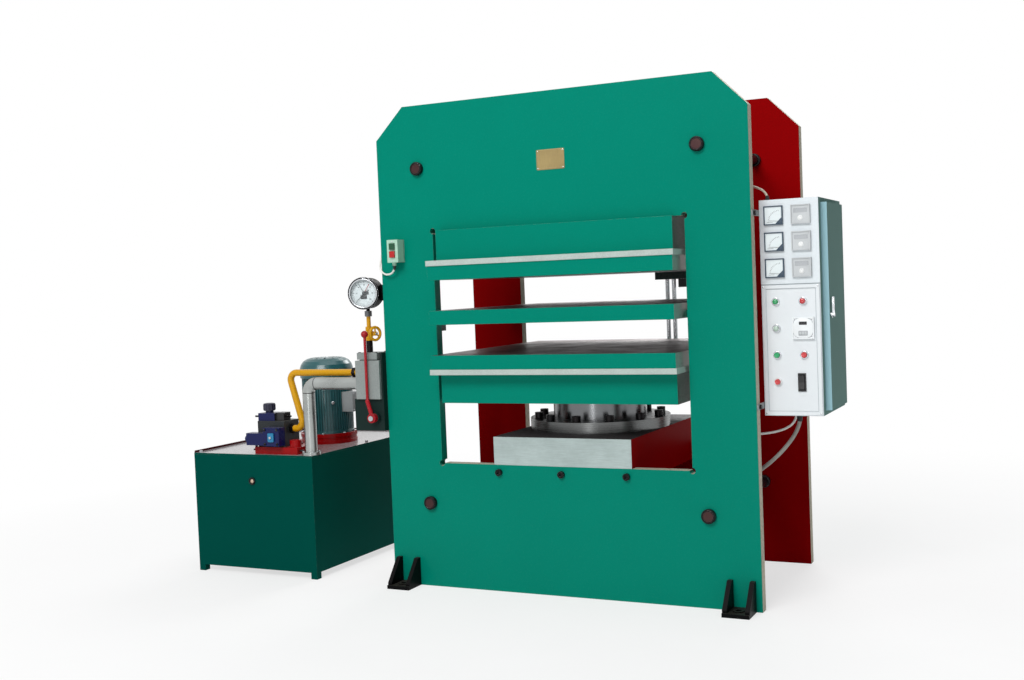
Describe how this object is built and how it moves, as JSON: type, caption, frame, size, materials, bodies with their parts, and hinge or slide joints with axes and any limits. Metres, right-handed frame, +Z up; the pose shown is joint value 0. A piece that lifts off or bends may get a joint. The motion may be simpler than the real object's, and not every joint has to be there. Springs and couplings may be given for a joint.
{
  "type": "plate vulcanizer",
  "caption": "Two-daylight heated plate press in a twin-plate window frame, with bottom ram, side control cabinet and oil power unit, for curing rubber sheet.",
  "frame": {"origin": "on the floor under the ram's axis, at the centre of the anchor bolts", "axes": "+X to the control cabinet's side, +Y from front to back, +Z up"},
  "size_m": [2.884, 1.127, 2.02],
  "materials": {
    "green_paint": "satin enamel",
    "tank_green": "satin enamel",
    "dark_green": "satin enamel",
    "red_paint": "satin enamel",
    "lever_red": "gloss enamel",
    "black_steel": "black paint and black oxide",
    "bright_steel": "machined",
    "dark_steel": "dark machined",
    "insulation": "matte board",
    "block_grey": "silver-grey paint",
    "packing": "matte",
    "silver_paint": "aluminium paint",
    "feed_steel": "grey paint",
    "yellow_paint": "gloss enamel",
    "gauge_black": "black enamel",
    "gauge_pane": "clear",
    "motor_teal": "enamel",
    "cowl_teal": "enamel",
    "pump_iron": "cast",
    "valve_navy": "gloss enamel",
    "knob_navy": "moulded",
    "cabinet_white": "powder coat",
    "door_grey": "powder coat",
    "instrument": "moulded",
    "black_plastic": "moulded",
    "key_green": "moulded",
    "key_red": "moulded",
    "tray": "passivated",
    "junction_grey": "moulded",
    "station_mint": "moulded",
    "lead_cream": "sheath",
    "lead_grey": "sheath"
  },
  "bodies": {
    "press_frame": {"front_plate": "green_paint", "upper_bed": "green_paint", "upper_platen": "green_paint", "oil_tank": "tank_green", "rod_bracket": "dark_green", "hand_valve": "dark_green", "platen_stops": "dark_green", "rear_plate": "red_paint", "motor_flange": "red_paint", "frame_fasteners": "black_steel", "foot_brackets": "black_steel", "gland_bolts": "black_steel", "tie_rods": "bright_steel", "gland_ring": "bright_steel", "upper_board": "insulation", "cylinder_body": "block_grey", "ram_packing": "packing", "valve_block": "silver_paint", "return_pipe": "silver_paint", "tank_cover": "silver_paint", "cabinet_straps": "silver_paint", "feed_pipe": "feed_steel", "gauge_cock": "yellow_paint", "pressure_pipe": "yellow_paint", "gauge_case": "gauge_black", "gauge_glass": "gauge_pane", "motor_frame": "motor_teal", "motor_cowl": "cowl_teal", "oil_pump": "pump_iron", "manifold": "pump_iron", "control_valves": "valve_navy", "cabinet_shell": "cabinet_white", "switch_panel": "cabinet_white", "panel_instruments": "instrument", "contactor_tray": "tray", "terminal_boxes": "junction_grey", "button_station": "station_mint", "button_lead": "lead_cream", "upper_lead": "lead_cream", "heater_lead": "lead_cream", "supply_lead": "lead_grey"},
    "press_ram": {"ram": "bright_steel", "ram_table": "green_paint", "lower_board": "insulation", "lower_platen": "green_paint", "trip_rod": "dark_steel"},
    "middle_plate": {"middle_platen": "green_paint"},
    "lever": {"hand_lever": "lever_red"},
    "pointer": {"gauge_pointer": "gauge_black"},
    "wheel": {"cock_wheel": "yellow_paint"},
    "rotor": {"motor_rotor": "bright_steel"},
    "door": {"cabinet_door": "door_grey"},
    "handle": {"door_handle": "bright_steel"},
    "raise_key": {"raise_button": "key_green"},
    "lower_key": {"lower_button": "key_red"},
    "start_key": {"start_push": "key_green"},
    "stop_key": {"stop_push": "key_red"},
    "cycle_key": {"cycle_push": "key_red"},
    "rocker": {"rocker_switch": "black_plastic"},
    "relief": {"relief_knob": "knob_navy"}
  },
  "joints": [
    {"name": "ram_lift", "type": "slide", "parent": "press_frame", "child": "press_ram", "axis": [0, 0, 1], "range_m": [0, 0.249]},
    {"name": "middle_lift", "type": "slide", "parent": "press_frame", "child": "middle_plate", "axis": [0, 0, 1], "range_m": [0, 0.1245]},
    {"name": "lever_swing", "type": "hinge", "parent": "press_frame", "child": "lever", "pos_m": [-0.845, -0.49, 0.716], "axis": [0, 1, 0], "range_deg": [-20, 20]},
    {"name": "pointer_turn", "type": "hinge", "parent": "press_frame", "child": "pointer", "pos_m": [-0.888, -0.42, 1.248], "axis": [-0.225, 0.9744, 0], "range_deg": [0, 270], "stiffness_Nm_per_rad": 0.0006, "springref_deg": -20.05},
    {"name": "cock_turn", "type": "hinge", "parent": "press_frame", "child": "wheel", "pos_m": [-0.888, -0.42, 1.074], "axis": [0.9455, -0.3256, 0], "range_deg": [0, 720]},
    {"name": "rotor_spin", "type": "hinge", "parent": "press_frame", "child": "rotor", "pos_m": [-1.396, -0.02, 0.65], "axis": [0, 0, 1], "continuous": true},
    {"name": "door_swing", "type": "hinge", "parent": "press_frame", "child": "door", "pos_m": [1.038, -0.012, 1.133], "axis": [0, 0, 1], "range_deg": [0, 110]},
    {"name": "handle_turn", "type": "hinge", "parent": "door", "child": "handle", "pos_m": [1.05, -0.283, 1.102], "axis": [-1, 0, 0], "range_deg": [0, 90]},
    {"name": "raise_press", "type": "slide", "parent": "press_frame", "child": "raise_key", "axis": [0, 1, 0], "range_m": [0, 0.004], "stiffness_N_per_m": 400, "springref_m": -0.002},
    {"name": "lower_press", "type": "slide", "parent": "press_frame", "child": "lower_key", "axis": [0, 1, 0], "range_m": [0, 0.004], "stiffness_N_per_m": 400, "springref_m": -0.002},
    {"name": "start_press", "type": "slide", "parent": "press_frame", "child": "start_key", "axis": [0, 1, 0], "range_m": [0, 0.004], "stiffness_N_per_m": 400, "springref_m": -0.002},
    {"name": "stop_press", "type": "slide", "parent": "press_frame", "child": "stop_key", "axis": [0, 1, 0], "range_m": [0, 0.004], "stiffness_N_per_m": 400, "springref_m": -0.002},
    {"name": "cycle_press", "type": "slide", "parent": "press_frame", "child": "cycle_key", "axis": [0, 1, 0], "range_m": [0, 0.004], "stiffness_N_per_m": 400, "springref_m": -0.002},
    {"name": "rocker_tilt", "type": "hinge", "parent": "press_frame", "child": "rocker", "pos_m": [0.95, -0.339, 0.855], "axis": [1, 0, 0], "range_deg": [-8, 8]},
    {"name": "relief_turn", "type": "hinge", "parent": "press_frame", "child": "relief", "pos_m": [-1.445, -0.41, 0.735], "axis": [0, 0, 1], "range_deg": [0, 720]}
  ],
  "couplings": [
    {"joint": "middle_lift", "follows": "ram_lift", "ratio": 0.5}
  ]
}
